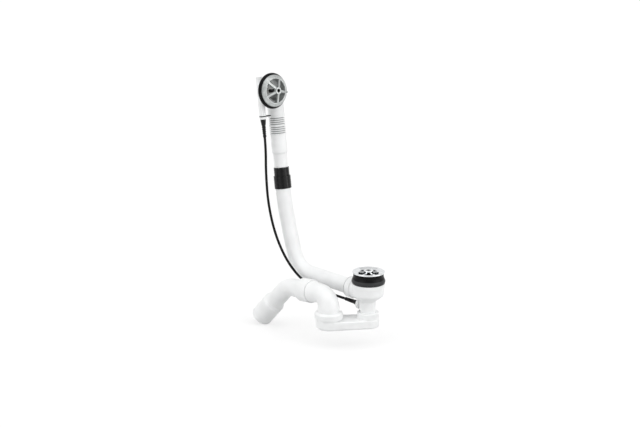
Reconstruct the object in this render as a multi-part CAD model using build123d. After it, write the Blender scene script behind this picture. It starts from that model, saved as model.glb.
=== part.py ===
from build123d import *
import os
from math import atan2, cos, degrees, radians, sin, tan

# Bath waste and overflow with a cable-driven lift pin, in millimetres.
# The origin is on the drain axis, on the plane where the bath floor is clamped, and Z is up.
# The overflow faces +X. Its pipe lies in the plane Y = 0 and the trap outlet leaves along -X.

# Fits
RUN_GAP = 0.3
SLIP_GAP = 0.15
BEARING_GAP = 0.08

# Motion
WIRE_STROKE = 12.0
PIN_LIFT = 8.0

# Overflow head: place of the disc on the bath wall, and the two lines that run down from it
HEAD_X = -279.85
HEAD_Z = 370.6
HEAD_TILT = 7.5
PIPE_SIDE = 26.0
PIPE_DEPTH = 31.3
CABLE_SIDE = 19.0
CABLE_DEPTH = 24.6

# Drain flange
FLANGE_R = 35.0
FLANGE_TOP = 10.0
RIM_THICK = 2.5
RIM_WIDTH = 4.0
RIM_ROUND = 1.0
DISH_FLOOR = 6.5
DISH_SKIN = 2.7
SLEEVE_R = 23.8
SLEEVE_WALL = 1.8
SLEEVE_DEPTH = 14.0
SPOKE_COUNT = 5
SPOKE_ROOT = 0.6
DRAIN_SPOKE_WIDTH = 4.6
DRAIN_SPOKE_TURN = -78.0
DRAIN_SPOKE_TOP = 6.5
DRAIN_SPOKE_LOW = 1.0
DRAIN_HUB_R = 10.5
DRAIN_HUB_TOP = 12.0
DRAIN_HUB_LOW = -8.0
DRAIN_HUB_ROUND = 1.2

# Drain seals
GASKET_INSET = 2.2
SEAL_R = 36.5
SEAL_HEIGHT = 16.5
SEAL_WAIST_IN = 3.5
SEAL_WAIST = 1.5
SEAL_BELLY = 10.0
SEAL_FOOT = 3.0
SEAL_FOOT_IN = 1.9
SEAL_ROUND = 5.0

# Drain body
WALL = 2.0
NECK_WALL = 2.0
NECK_DROP = 1.0
BOWL_R = 34.0
SEAT_STEP = 1.6
SEAT_THICK = 8.0
BOWL_BEND_Z = -43.0
BOWL_FOOT_Z = -57.0
BOWL_ROUND = 9.0
TAIL_R = 16.5
DUCT_LONG = 4.0
DUCT_BELOW_PORT = 7.5
SPIGOT_LENGTH = 24.0
BARREL_WALL = 2.95
BARREL_SHOULDER = 0.8
BARREL_DROP = 0.1
BARREL_REACH = 53.0
BARREL_SOCKET = 17.0
PORT_CLEAR = 2.8
PORT_R = 7.0
PORT_REACH = 30.5
PORT_FLANGE_R = 11.5
PORT_FLANGE_THICK = 7.5
PORT_LIP = 2.0

# Lift pin, ramp and guide
PIN_R = 5.0
PIN_HEAD_LOW = -17.0
PIN_SHANK_R = 3.2
PIN_TIP_R = 2.0
PIN_TIP_TAPER = 5.0
PIN_BELOW_HUB = 1.0
PIN_THREAD_R = 2.5
PIN_THREAD_DEPTH = 10.0
RAMP_ABOVE_PORT = 3.5
RAMP_HALF_WIDTH = 3.0
RAMP_TAIL = 4.5
RAMP_FOOT = 3.0
RAMP_END_GAP = 0.8
GUIDE_BASE = 2.0
GUIDE_WALL = 1.8
GUIDE_HEIGHT = 12.0

# Overflow pipes: each length down the pipe follows on from the piece above it
PIPE_R = 17.5
PIPE_WALL = 1.7
INNER_PIPE_WALL = 1.6
KNEE_BELOW = 35.5
KNEE_RADIUS = 420.0
FOOT_OUT = 46.85
FOOT_RADIUS = 58.0
PLUG_STEP = 1.7
PLUG_GAP = 1.0
CUFF_STEP = 1.4
CUFF_GAP = 1.0
CUFF_LENGTH = 43.0
GROOVE_FLOOR = 1.5
GROOVE_WIDTH = 2.2
GROOVE_PITCH = 4.53
GROOVE_COUNT = 4
UPPER_GROOVE_IN = 5.4
LOWER_GROOVE_IN = 25.8
SHANK_STEP = 2.1
SHANK_LENGTH = 40.5
STEP_LENGTH = 4.0
INNER_PIPE_PAST = 3.5

# Black coupling on the overflow pipe
COUPLING_BELOW = 34.5
COUPLING_UPPER = 19.5
COUPLING_LOWER = 29.0
COUPLING_WEB = 1.5
COUPLING_SKIN = 1.7
COUPLING_ROUND = 0.6

# Union between the overflow pipe and the drain
UNION_NUT_WALL = 2.4
UNION_NUT_LENGTH = 17.0
UNION_NUT_WEB = 4.0
UNION_NUT_ROUND = 1.2
UNION_GROOVE_IN = 1.8
UNION_GROOVE_WIDTH = 1.2
UNION_GROOVE_DEPTH = 1.4
UNION_SEAL_THICK = 1.7
UNION_SEAL_LENGTH = 5.0

# Overflow housing, insert and gasket, from the bath wall backwards
OVERFLOW_GASKET_R = 40.0
OVERFLOW_GASKET_THICK = 7.5
OVERFLOW_GASKET_EDGE = 3.0
OVERFLOW_GASKET_TAPER = 4.0
OVERFLOW_GASKET_ROUND = 1.2
THROAT_WALL = 2.1
THROAT_DROP = 1.0
SEAT_FLANGE_R = 36.0
SEAT_FLANGE_THICK = 4.0
CUP_WALL = 2.8
CUP_SHORT = 4.6
CUP_PAST = 9.4
CUP_BACK_R = 20.5
CUP_BACK_SKIN = 2.4
SOCKET_SKIN = 1.6
SOCKET_END = 57.0
SOCKET_STOP = 41.0
SOCKET_TOP = 12.0
WATERWAY_R = 15.5
CABLE_TUBE_R = 7.6
CABLE_TUBE_TOP = 33.0
CABLE_TUBE_END = 53.8
CABLE_TUBE_BORE_R = 3.2
CABLE_TUBE_BORE_TOP = 9.0

INSERT_R = 35.4
INSERT_EDGE = 2.4
INSERT_BEVEL = 1.2
INSERT_SLEEVE_R = 28.8
INSERT_SLEEVE_WALL = 1.8
INSERT_SLEEVE_DEPTH = 12.0
INSERT_CROWN = 6.6
INSERT_HUB_R = 7.5
INSERT_HUB_TOP = 16.5
INSERT_HUB_LOW = 9.0
INSERT_SPOKE_WIDTH = 4.8
INSERT_SPOKE_DEPTH = 5.5
INSERT_SPOKE_TURN = 60.0
PEG_R = 1.5
PEG_TOP = 8.0
PEG_INSET = 2.0
PEG_TURN = -11.0

# Spindle and crank
SPINDLE_R = 4.2
SPINDLE_FRONT = 15.7
SPINDLE_COLLAR_R = 5.6
SPINDLE_COLLAR = 1.8
SPINDLE_SQUARE = 5.8
SPINDLE_BORE_R = 3.0
SPINDLE_BORE_DEPTH = 12.0
SPINDLE_KEY = 1.6
CRANK_FRONT = 14.0
CRANK_THICK = 4.0
CRANK_HUB_R = 7.5
CRANK_ARM_HALF = 4.4
CRANK_ARM_TIP = 5.6
NIPPLE_R = 2.0
NIPPLE_PAST = 1.4
NIPPLE_IN = 0.1
NIPPLE_PLAY = 0.4
SCREW_HEAD_R = 4.6
SCREW_HEAD = 2.4
SCREW_R = 1.5
SCREW_LENGTH = 7.0

# Cable
SHEATH_R = 2.9
WIRE_R = 0.9
WIRE_BORE_R = 1.3
FERRULE_PLUG_R = 4.2
FERRULE_HEAD_R = 6.2
FERRULE_HEAD = 3.0
FERRULE_TAPER = 14.0
FERRULE_RIB_R = 4.6
FERRULE_RIB_DEPTH = 0.6
FERRULE_NARROWING = 0.16
FERRULE_RIBS = 5
FERRULE_PITCH = 4.8
FERRULE_LIP = 2.0
SHEATH_SOCKET = 6.0
UPPER_PLUG = 15.0
LOWER_PLUG = 7.5
WIRE_END_GAP = 2.0
CLIP_THICK = 2.6
CLIP_LEFT = 6.5
CLIP_RIGHT = 20.0
CLIP_HALF = 7.0
CLIP_CORNER = 4.0
COLLAR_LENGTH = 5.2
BEND_SHARE = 0.45
CABLE_LEAD = 32.0
CABLE_B = (-288.5, -45.0, 184.0)
CABLE_C = (-281.0, -45.0, 110.0)
CABLE_D = (-256.0, -43.0, 37.0)
CABLE_E = (-217.0, -36.0, -22.0)
CABLE_F = (-171.0, -24.0, -57.0)
CABLE_G_X = -118.0

# Trap
TRAP_WALL = 2.4
TRAP_ROUND = 5.0
TRAY_HEIGHT = 20.0
TRAY_TOP_ROUND = 3.0
INLET_R = 24.6
INLET_STEP = 0.6
INLET_CLEAR = 0.5
INLET_HEIGHT = 13.0
INLET_TOP_ROUND = 1.5
INLET_SEAL_WIDE = 3.0
INLET_SEAL_IN = 4.0
INLET_SEAL_THICK = 4.0
CUP_X = -50.0
CUP_Y = -70.0
CUP_NECK_WALL = 2.5
CUP_NECK_HEIGHT = 13.0
RISER_SEAL_THICK = 4.0
TRAP_NUT_WALL = 2.8
TRAP_NUT_WEB = 4.5
TRAP_NUT_HEIGHT = 14.1
TRAP_NUT_SLOPE = 3.4
TRAP_NUT_LIP = 0.8
TRAP_NUT_ROUND = 1.0

# Riser, elbow and outlet
RISER_STEP = 3.8
RISER_WALL = 2.6
RISER_CLEAR = 1.0
RISER_BEAD = 4.0
RISER_BEAD_STEP = 1.7
ELBOW_NECK_STEP = 3.2
ELBOW_FALL = 5.5
ELBOW_RISE = 41.5
ELBOW_INSIDE = 3.2
ELBOW_FLARE = 26.0
ELBOW_REACH = 76.0
OUTLET_NUT_WALL = 2.0
OUTLET_NUT_LENGTH = 32.0
OUTLET_NUT_WEB = 4.0
OUTLET_NUT_ROUND = 2.0
OUTLET_SEAL_LENGTH = 5.0
OUTLET_R = 20.0
OUTLET_WALL = 2.2
OUTLET_SOCKET = 18.0
OUTLET_BEAD_GAP = 0.4
OUTLET_BEAD = 4.0
OUTLET_STRAIGHT = 60.0
OUTLET_BEND = 55.0
OUTLET_TURN = 45.0
OUTLET_RUN = 129.0
SPIGOT_R = 25.0
SPIGOT_LONG = 60.0
SPIGOT_STEP = 6.0
SPIGOT_CHAMFER = 1.2

# Values that follow from the ones above
RIM_UNDER = FLANGE_TOP - RIM_THICK
LIP_R = FLANGE_R - RIM_WIDTH
GASKET_R = FLANGE_R - GASKET_INSET
SLEEVE_BORE = SLEEVE_R - SLEEVE_WALL
CONE_LOW = DISH_FLOOR + (FLANGE_TOP - DISH_FLOOR) * SLEEVE_WALL / (LIP_R - SLEEVE_BORE) - DISH_SKIN
PIN_BORE_R = PIN_R + BEARING_GAP
PIN_TOP = DRAIN_HUB_TOP - PIN_BELOW_HUB
SEAL_WAIST_R = SEAL_R - SEAL_WAIST_IN
SEAL_FOOT_R = SEAL_R - SEAL_FOOT_IN
NECK_BORE = SLEEVE_R + SLIP_GAP
NECK_R = NECK_BORE + NECK_WALL
SEAT_R = BOWL_R + SEAT_STEP
SEAT_Z = -SEAL_HEIGHT
PIPE_BORE = PIPE_R - PIPE_WALL
PIPE_SOCKET = PIPE_R + SLIP_GAP
INNER_PIPE_R = PIPE_BORE - RUN_GAP
INNER_BORE = INNER_PIPE_R - INNER_PIPE_WALL
BARREL_R = PIPE_SOCKET + BARREL_WALL
BARREL_STOP = BARREL_REACH - BARREL_SOCKET
UNION_NUT_R = BARREL_R + UNION_NUT_WALL
UNION_NUT_TO = BARREL_REACH + UNION_NUT_WEB
UNION_NUT_FROM = UNION_NUT_TO - UNION_NUT_LENGTH
UNION_SEAL_R = PIPE_R + UNION_SEAL_THICK
RUN_Z = SEAT_Z - BARREL_DROP - BARREL_SHOULDER - BARREL_R
PORT_Z = RUN_Z - UNION_NUT_R - FERRULE_HEAD_R - PORT_CLEAR
PORT_BORE = FERRULE_PLUG_R + SLIP_GAP
PORT_FLANGE_AT = PORT_REACH - PORT_LIP
DUCT_FLOOR_Z = PORT_Z - DUCT_BELOW_PORT
DUCT_IN = DUCT_FLOOR_Z + WALL
SPIGOT_END_Z = DUCT_FLOOR_Z - SPIGOT_LENGTH
RAMP_Z = PORT_Z + RAMP_ABOVE_PORT
RAMP_TOE = TAIL_R - WALL - RAMP_END_GAP
RAMP_RISE = PIN_LIFT / WIRE_STROKE
RAMP_SLANT = atan2(PIN_LIFT, WIRE_STROKE)
RAMP_BOTTOM = DUCT_IN + GUIDE_BASE + RUN_GAP
PIN_TIP_Z = RAMP_Z + (PIN_TIP_R + RUN_GAP) / cos(RAMP_SLANT)
THROAT_BORE = INSERT_SLEEVE_R + SLIP_GAP
THROAT_R = THROAT_BORE + THROAT_WALL
CUP_DEEP = CABLE_DEPTH - CUP_SHORT
CUP_BACK = CABLE_DEPTH + CUP_PAST
PEG_AT_R = INSERT_R - PEG_INSET
CRANK_BACK = CRANK_FRONT + CRANK_THICK
CRANK_HALF_TURN = degrees(atan2(WIRE_STROKE / 2, CABLE_SIDE))
CRANK_ARM_REACH = CABLE_SIDE + CRANK_ARM_TIP
NIPPLE_BACK = CABLE_DEPTH + NIPPLE_PAST
NIPPLE_FRONT = CRANK_FRONT + NIPPLE_IN
PLUG_R = INNER_PIPE_R + PLUG_STEP
PLUG_TOP = SOCKET_STOP + PLUG_GAP
HOUSING_SOCKET = PLUG_R + SLIP_GAP
CUFF_R = PLUG_R + CUFF_STEP
CUFF_TOP = SOCKET_END + CUFF_GAP
CUFF_END = CUFF_TOP + CUFF_LENGTH
SHANK_R = INNER_PIPE_R + SHANK_STEP
SHANK_END = CUFF_END + SHANK_LENGTH
COUPLING_TOP = SHANK_END + COUPLING_BELOW
COUPLING_STEP = COUPLING_TOP + COUPLING_UPPER
COUPLING_END = COUPLING_STEP + COUPLING_LOWER
INNER_PIPE_END = COUPLING_END + INNER_PIPE_PAST
KNEE_DROP = COUPLING_END + KNEE_BELOW
FOOT_X = HEAD_X + FOOT_OUT
CLIP_AT = CABLE_TUBE_END
COLLAR_AT = CLIP_AT + CLIP_THICK
UPPER_PORT = COLLAR_AT + COLLAR_LENGTH
FERRULE_LENGTH = FERRULE_TAPER + FERRULE_RIBS * FERRULE_PITCH + FERRULE_LIP
SHEATH_START = FERRULE_LENGTH - SHEATH_SOCKET
INLET_TOP_Z = PORT_Z - PORT_FLANGE_R - INLET_CLEAR
INLET_BORE = TAIL_R + SLIP_GAP
INLET_SEAL_R = TAIL_R + INLET_SEAL_WIDE
INLET_SEAL_TOP_Z = INLET_TOP_Z - INLET_SEAL_IN
TRAY_TOP_Z = INLET_TOP_Z - INLET_HEIGHT
TRAP_FLOOR_Z = TRAY_TOP_Z - TRAY_HEIGHT
RISER_R = OUTLET_R + RISER_STEP
RISER_BORE = RISER_R - RISER_WALL
RISER_SOCKET = RISER_R + RUN_GAP
RISER_LOW_Z = TRAY_TOP_Z + RISER_CLEAR
RISER_BEAD_R = RISER_R + RISER_BEAD_STEP
CUP_NECK_BORE = RISER_BEAD_R + SLIP_GAP
CUP_R = RISER_BEAD_R + CUP_NECK_WALL
CUP_NECK_R = CUP_R - SLIP_GAP
CUP_NECK_TOP_Z = TRAY_TOP_Z + CUP_NECK_HEIGHT
RISER_SEAL_TOP_Z = CUP_NECK_TOP_Z - RISER_BEAD
TRAP_NUT_R = CUP_R + TRAP_NUT_WALL
TRAP_NUT_TOP_Z = CUP_NECK_TOP_Z + TRAP_NUT_WEB
TRAP_NUT_LOW_Z = TRAP_NUT_TOP_Z - TRAP_NUT_HEIGHT
ELBOW_Z = CUP_NECK_TOP_Z + ELBOW_RISE
ELBOW_NECK_R = RISER_R - ELBOW_NECK_STEP
ELBOW_NECK_BORE = ELBOW_NECK_R - RISER_WALL
ELBOW_BEND = RISER_R + ELBOW_INSIDE
OUTLET_NUT_R = RISER_R + OUTLET_NUT_WALL
OUTLET_NUT_TO = ELBOW_REACH + OUTLET_SEAL_LENGTH + OUTLET_NUT_WEB
OUTLET_NUT_FROM = OUTLET_NUT_TO - OUTLET_NUT_LENGTH
OUTLET_BORE = OUTLET_R - OUTLET_WALL
OUTLET_FROM = ELBOW_REACH - OUTLET_SOCKET
OUTLET_BEAD_R = RISER_BORE - OUTLET_BEAD_GAP
OUTLET_CORNER = ELBOW_REACH + OUTLET_STRAIGHT
SPIGOT_BORE = SPIGOT_R - OUTLET_WALL
STAND = (Align.CENTER, Align.CENTER, Align.MIN)

# Frames: the head looks out along its own Z, and the others have Z along their pipe
TILT = radians(HEAD_TILT)
HEAD = Plane(origin=(HEAD_X, -PIPE_SIDE, HEAD_Z), x_dir=(0, 1, 0), z_dir=(cos(TILT), 0, sin(TILT))).location
PIPE = HEAD * Plane(origin=(PIPE_SIDE, 0, -PIPE_DEPTH), x_dir=(1, 0, 0), z_dir=(0, -1, 0)).location
CABLE = HEAD * Plane(origin=(-CABLE_SIDE, 0, -CABLE_DEPTH), x_dir=(1, 0, 0), z_dir=(0, -1, 0)).location
RUN = Plane(origin=(0, 0, RUN_Z), x_dir=(0, 1, 0), z_dir=(-1, 0, 0)).location
PORT = Plane(origin=(0, 0, PORT_Z), x_dir=(0, 1, 0), z_dir=(-1, 0, 0)).location
CUP = Location((CUP_X, CUP_Y, 0))
FALL = radians(ELBOW_FALL)
ELBOW = Plane(origin=(CUP_X, CUP_Y, ELBOW_Z), x_dir=(0, 1, 0), z_dir=(-cos(FALL), 0, -sin(FALL))).location


def turned(points, rounds=()):
    """Solid of revolution about Z from (radius, height) corners, with some corners rounded."""
    face = make_face(Polyline(*points, close=True))
    for index, radius in rounds:
        corner = face.vertices().sort_by_distance((*points[index], 0))[0]
        face = fillet(corner, radius)
    return revolve(Plane.XZ * face, Axis.Z)


def rod(radius, start, end):
    """Cylinder on Z between two heights."""
    return Pos(0, 0, start) * Cylinder(radius, end - start, align=STAND)


def ring(inner, outer, start, end):
    """Plain ring on Z between two heights."""
    return rod(outer, start, end) - rod(inner, start, end)


def swept(path, radius):
    """Round bar along a path."""
    section = Plane(origin=path @ 0, z_dir=path % 0) * Circle(radius)
    return sweep(section, path=path)


def slab(points, half_width):
    """Plate cut to an outline in XZ, with its thickness along Y."""
    return extrude(Plane.XZ * make_face(Polyline(*points, close=True)), half_width, both=True)


def spokes(points, width, first_turn):
    """Radial webs spread evenly round Z."""
    web = slab(points, width / 2)
    return [Rot(0, 0, first_turn + 360 / SPOKE_COUNT * index) * web for index in range(SPOKE_COUNT)]


def drain_flange():
    shell = turned(
        [
            (FLANGE_R, RIM_UNDER),
            (FLANGE_R, FLANGE_TOP),
            (LIP_R, FLANGE_TOP),
            (SLEEVE_BORE, DISH_FLOOR),
            (SLEEVE_BORE, -SLEEVE_DEPTH),
            (SLEEVE_R, -SLEEVE_DEPTH),
            (SLEEVE_R, CONE_LOW),
            (LIP_R, RIM_UNDER),
        ],
        [(1, RIM_ROUND), (2, RIM_ROUND)],
    )
    web = [
        (PIN_BORE_R + SPOKE_ROOT, DRAIN_SPOKE_LOW),
        (SLEEVE_BORE + SPOKE_ROOT, DRAIN_SPOKE_LOW),
        (SLEEVE_BORE + SPOKE_ROOT, DRAIN_SPOKE_TOP),
        (PIN_BORE_R + SPOKE_ROOT, DRAIN_SPOKE_TOP),
    ]
    hub = turned(
        [
            (PIN_BORE_R, DRAIN_HUB_LOW),
            (DRAIN_HUB_R, DRAIN_HUB_LOW),
            (DRAIN_HUB_R, DRAIN_HUB_TOP),
            (PIN_BORE_R, DRAIN_HUB_TOP),
        ],
        [(2, DRAIN_HUB_ROUND)],
    )
    return shell + hub + spokes(web, DRAIN_SPOKE_WIDTH, DRAIN_SPOKE_TURN)


def flange_gasket():
    inner = SLEEVE_R + SLIP_GAP
    return turned(
        [
            (inner, 0),
            (GASKET_R, 0),
            (GASKET_R, RIM_UNDER),
            (LIP_R + SLIP_GAP, RIM_UNDER),
            (inner, CONE_LOW),
        ],
    )


def drain_seal():
    inner = NECK_R + SLIP_GAP
    return turned(
        [
            (inner, SEAT_Z),
            (SEAL_FOOT_R, SEAT_Z),
            (SEAL_R, SEAT_Z + SEAL_FOOT),
            (SEAL_R, -SEAL_BELLY),
            (SEAL_WAIST_R, -SEAL_WAIST),
            (SEAL_WAIST_R, 0),
            (inner, 0),
        ],
        [(2, SEAL_ROUND), (3, SEAL_ROUND)],
    )


def duct(radius, low, high):
    """Oblong pillar from the drain axis towards the cable port."""
    outline = Pos(-DUCT_LONG / 2, 0) * SlotCenterToCenter(DUCT_LONG, 2 * radius)
    return Pos(0, 0, low) * extrude(outline, high - low)


def drain_body():
    bowl = turned(
        [
            (0, -NECK_DROP),
            (NECK_R, -NECK_DROP),
            (NECK_R, SEAT_Z),
            (SEAT_R, SEAT_Z),
            (SEAT_R, SEAT_Z - SEAT_THICK),
            (BOWL_R, SEAT_Z - SEAT_THICK),
            (BOWL_R, BOWL_BEND_Z),
            (TAIL_R, BOWL_FOOT_Z),
            (0, BOWL_FOOT_Z),
        ],
        [(6, BOWL_ROUND)],
    )
    hollow = turned(
        [
            (0, 0),
            (NECK_BORE, 0),
            (NECK_BORE, SEAT_Z - SEAT_THICK),
            (BOWL_R - WALL, SEAT_Z - SEAT_THICK - WALL),
            (BOWL_R - WALL, BOWL_BEND_Z + WALL / 2),
            (TAIL_R - WALL, BOWL_FOOT_Z + WALL / 2),
            (0, BOWL_FOOT_Z + WALL / 2),
        ],
        [(4, BOWL_ROUND - WALL)],
    )
    outside = bowl + duct(TAIL_R, DUCT_FLOOR_Z, BOWL_BEND_Z)
    outside += rod(TAIL_R, SPIGOT_END_Z, DUCT_FLOOR_Z)
    outside += RUN * rod(BARREL_R, 0, BARREL_REACH)
    outside += RUN * rod(BARREL_R + BARREL_SHOULDER, 0, UNION_NUT_FROM - RUN_GAP)
    outside += PORT * rod(PORT_R, DUCT_LONG, PORT_REACH)
    outside += PORT * rod(PORT_FLANGE_R, PORT_FLANGE_AT - PORT_FLANGE_THICK, PORT_FLANGE_AT)
    inside = hollow + duct(TAIL_R - WALL, DUCT_IN, BOWL_BEND_Z)
    inside += rod(TAIL_R - WALL, SPIGOT_END_Z, DUCT_IN)
    inside += RUN * rod(PIPE_BORE, 0, BARREL_STOP)
    inside += RUN * rod(PIPE_SOCKET, BARREL_STOP, BARREL_REACH)
    inside += RUN * rod(UNION_SEAL_R + SLIP_GAP, BARREL_REACH - UNION_SEAL_LENGTH, BARREL_REACH)
    inside += PORT * rod(PORT_BORE, DUCT_LONG, PORT_REACH)
    return outside - inside


def lift_pin():
    head = rod(PIN_R, PIN_HEAD_LOW, PIN_TOP) - rod(PIN_THREAD_R, PIN_TOP - PIN_THREAD_DEPTH, PIN_TOP)
    shank = rod(PIN_SHANK_R, PIN_TIP_Z + PIN_TIP_TAPER, PIN_HEAD_LOW)
    taper = Pos(0, 0, PIN_TIP_Z) * Cone(PIN_TIP_R, PIN_SHANK_R, PIN_TIP_TAPER, align=STAND)
    return head + shank + taper + Pos(0, 0, PIN_TIP_Z) * Sphere(PIN_TIP_R)


def lift_slide():
    low = RAMP_Z - RAMP_FOOT * RAMP_RISE
    return slab(
        [
            (-RAMP_TAIL, RAMP_BOTTOM),
            (RAMP_TOE, RAMP_BOTTOM),
            (RAMP_TOE, RAMP_Z + RAMP_TOE * RAMP_RISE),
            (-RAMP_FOOT, low),
            (-RAMP_TAIL, low),
        ],
        RAMP_HALF_WIDTH,
    )


def lift_guide():
    inner = RAMP_HALF_WIDTH + RUN_GAP
    outer = inner + GUIDE_WALL
    reach = DUCT_LONG + 2 * TAIL_R
    block = Pos(0, 0, DUCT_IN) * Box(2 * reach, 2 * outer, GUIDE_HEIGHT, align=STAND)
    block -= Pos(0, 0, DUCT_IN + GUIDE_BASE) * Box(2 * reach, 2 * inner, GUIDE_HEIGHT, align=STAND)
    return block & duct(TAIL_R - WALL - SLIP_GAP / 2, DUCT_IN, DUCT_IN + GUIDE_HEIGHT)


def wire_lower():
    return PORT * rod(WIRE_R, RAMP_TAIL, PORT_REACH + SHEATH_START - WIRE_STROKE - WIRE_END_GAP)


def overflow_union_nut():
    groove_end = UNION_NUT_TO - UNION_GROOVE_IN
    groove_start = groove_end - UNION_GROOVE_WIDTH
    floor = UNION_NUT_R - UNION_GROOVE_DEPTH
    return RUN * turned(
        [
            (BARREL_R + SLIP_GAP, UNION_NUT_FROM),
            (UNION_NUT_R, UNION_NUT_FROM),
            (UNION_NUT_R, groove_start),
            (floor, groove_start),
            (floor, groove_end),
            (UNION_NUT_R, groove_end),
            (UNION_NUT_R, UNION_NUT_TO),
            (PIPE_SOCKET, UNION_NUT_TO),
            (PIPE_SOCKET, BARREL_REACH + SLIP_GAP),
            (BARREL_R + SLIP_GAP, BARREL_REACH + SLIP_GAP),
        ],
        [(1, UNION_NUT_ROUND), (6, UNION_NUT_ROUND)],
    )


def overflow_joint_seal():
    return RUN * ring(PIPE_R + SLIP_GAP / 2, UNION_SEAL_R, BARREL_REACH - UNION_SEAL_LENGTH, BARREL_REACH)


def overflow_pipe_lower():
    top = (PIPE * Pos(0, 0, COUPLING_STEP + COUPLING_WEB)).position
    knee = (PIPE * Pos(0, 0, KNEE_DROP)).position
    foot = Vector(FOOT_X, 0, RUN_Z)
    end = Vector(-BARREL_STOP - RUN_GAP, 0, RUN_Z)
    path = FilletPolyline(top, knee, foot, end, radius=(KNEE_RADIUS, FOOT_RADIUS))
    return swept(path, PIPE_R) - swept(path, PIPE_BORE)


def pipe_coupling():
    upper_bore = INNER_PIPE_R + SLIP_GAP
    lower_bore = PIPE_R + SLIP_GAP
    return PIPE * turned(
        [
            (upper_bore, COUPLING_TOP),
            (upper_bore + COUPLING_SKIN, COUPLING_TOP),
            (upper_bore + COUPLING_SKIN, COUPLING_STEP),
            (lower_bore + COUPLING_SKIN, COUPLING_STEP),
            (lower_bore + COUPLING_SKIN, COUPLING_END),
            (lower_bore, COUPLING_END),
            (lower_bore, COUPLING_STEP + COUPLING_WEB),
            (upper_bore, COUPLING_STEP + COUPLING_WEB),
        ],
        [(1, COUPLING_ROUND), (3, COUPLING_ROUND), (4, COUPLING_ROUND)],
    )


def groove(middle):
    """Corners of one groove in the cuff."""
    low = middle - GROOVE_WIDTH / 2
    high = middle + GROOVE_WIDTH / 2
    floor = INNER_BORE + GROOVE_FLOOR
    return [(CUFF_R, low), (floor, low), (floor, high), (CUFF_R, high)]


def overflow_pipe_upper():
    points = [(INNER_BORE, PLUG_TOP), (PLUG_R, PLUG_TOP), (PLUG_R, CUFF_TOP), (CUFF_R, CUFF_TOP)]
    for first in (UPPER_GROOVE_IN, LOWER_GROOVE_IN):
        for index in range(GROOVE_COUNT):
            points += groove(CUFF_TOP + first + GROOVE_PITCH * index)
    points += [
        (CUFF_R, CUFF_END),
        (SHANK_R, CUFF_END),
        (SHANK_R, SHANK_END),
        (INNER_PIPE_R, SHANK_END + STEP_LENGTH),
        (INNER_PIPE_R, INNER_PIPE_END),
        (INNER_BORE, INNER_PIPE_END),
    ]
    return PIPE * turned(points)


def overflow_housing():
    seat = -OVERFLOW_GASKET_THICK
    cup = turned(
        [
            (0, -THROAT_DROP),
            (THROAT_R, -THROAT_DROP),
            (THROAT_R, seat),
            (SEAT_FLANGE_R, seat),
            (SEAT_FLANGE_R, seat - SEAT_FLANGE_THICK),
            (THROAT_BORE + CUP_WALL, seat - SEAT_FLANGE_THICK),
            (THROAT_BORE + CUP_WALL, -CUP_DEEP),
            (CUP_BACK_R, -CUP_BACK),
            (0, -CUP_BACK),
        ],
    )
    hollow = turned(
        [
            (0, 0),
            (THROAT_BORE, 0),
            (THROAT_BORE, -CUP_DEEP),
            (CUP_BACK_R - CUP_BACK_SKIN, CUP_BACK_SKIN - CUP_BACK),
            (0, CUP_BACK_SKIN - CUP_BACK),
        ],
    )
    outside = HEAD * cup
    outside += PIPE * rod(HOUSING_SOCKET + SOCKET_SKIN, SOCKET_TOP, SOCKET_END)
    outside += PIPE * Pos(0, 0, SOCKET_TOP) * Sphere(HOUSING_SOCKET + SOCKET_SKIN)
    outside += CABLE * rod(CABLE_TUBE_R, -CABLE_TUBE_TOP, CABLE_TUBE_END)
    inside = HEAD * hollow
    inside += PIPE * rod(WATERWAY_R, SOCKET_TOP, SOCKET_STOP)
    inside += PIPE * Pos(0, 0, SOCKET_TOP) * Sphere(WATERWAY_R)
    inside += PIPE * rod(HOUSING_SOCKET, SOCKET_STOP, SOCKET_END)
    inside += CABLE * rod(CABLE_TUBE_BORE_R, -CABLE_TUBE_BORE_TOP, CABLE_TUBE_END)
    inside += CABLE * rod(PORT_BORE, UPPER_PORT - UPPER_PLUG - SLIP_GAP, CABLE_TUBE_END)
    return outside - inside


def overflow_gasket():
    inner = THROAT_R + SLIP_GAP
    return HEAD * turned(
        [
            (inner, -OVERFLOW_GASKET_THICK),
            (OVERFLOW_GASKET_R, -OVERFLOW_GASKET_THICK),
            (OVERFLOW_GASKET_R, OVERFLOW_GASKET_EDGE - OVERFLOW_GASKET_THICK),
            (OVERFLOW_GASKET_R - OVERFLOW_GASKET_TAPER, 0),
            (inner, 0),
        ],
        [(1, OVERFLOW_GASKET_ROUND), (2, OVERFLOW_GASKET_ROUND)],
    )


def overflow_insert():
    bore = INSERT_SLEEVE_R - INSERT_SLEEVE_WALL
    ring_part = turned(
        [
            (INSERT_R, 0),
            (INSERT_R, INSERT_EDGE),
            (INSERT_R - INSERT_BEVEL, INSERT_EDGE + INSERT_BEVEL),
            (INSERT_SLEEVE_R, INSERT_CROWN),
            (bore, INSERT_CROWN),
            (bore, -INSERT_SLEEVE_DEPTH),
            (INSERT_SLEEVE_R, -INSERT_SLEEVE_DEPTH),
            (INSERT_SLEEVE_R, 0),
        ],
    )
    root = SPINDLE_R + BEARING_GAP + SPOKE_ROOT
    web = [
        (root, INSERT_HUB_TOP - INSERT_BEVEL),
        (bore + SPOKE_ROOT, INSERT_CROWN),
        (bore + SPOKE_ROOT, INSERT_CROWN - INSERT_SPOKE_DEPTH),
        (INSERT_HUB_R, INSERT_HUB_LOW),
        (root, INSERT_HUB_LOW),
    ]
    star = rod(INSERT_HUB_R, INSERT_HUB_LOW, INSERT_HUB_TOP)
    star += spokes(web, INSERT_SPOKE_WIDTH, INSERT_SPOKE_TURN)
    star -= rod(SPINDLE_R + BEARING_GAP, INSERT_HUB_LOW, INSERT_HUB_TOP)
    peg = Rot(0, 0, PEG_TURN) * Pos(PEG_AT_R, 0, 0) * rod(PEG_R, INSERT_EDGE, PEG_TOP)
    return HEAD * (ring_part + star + peg)


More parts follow.
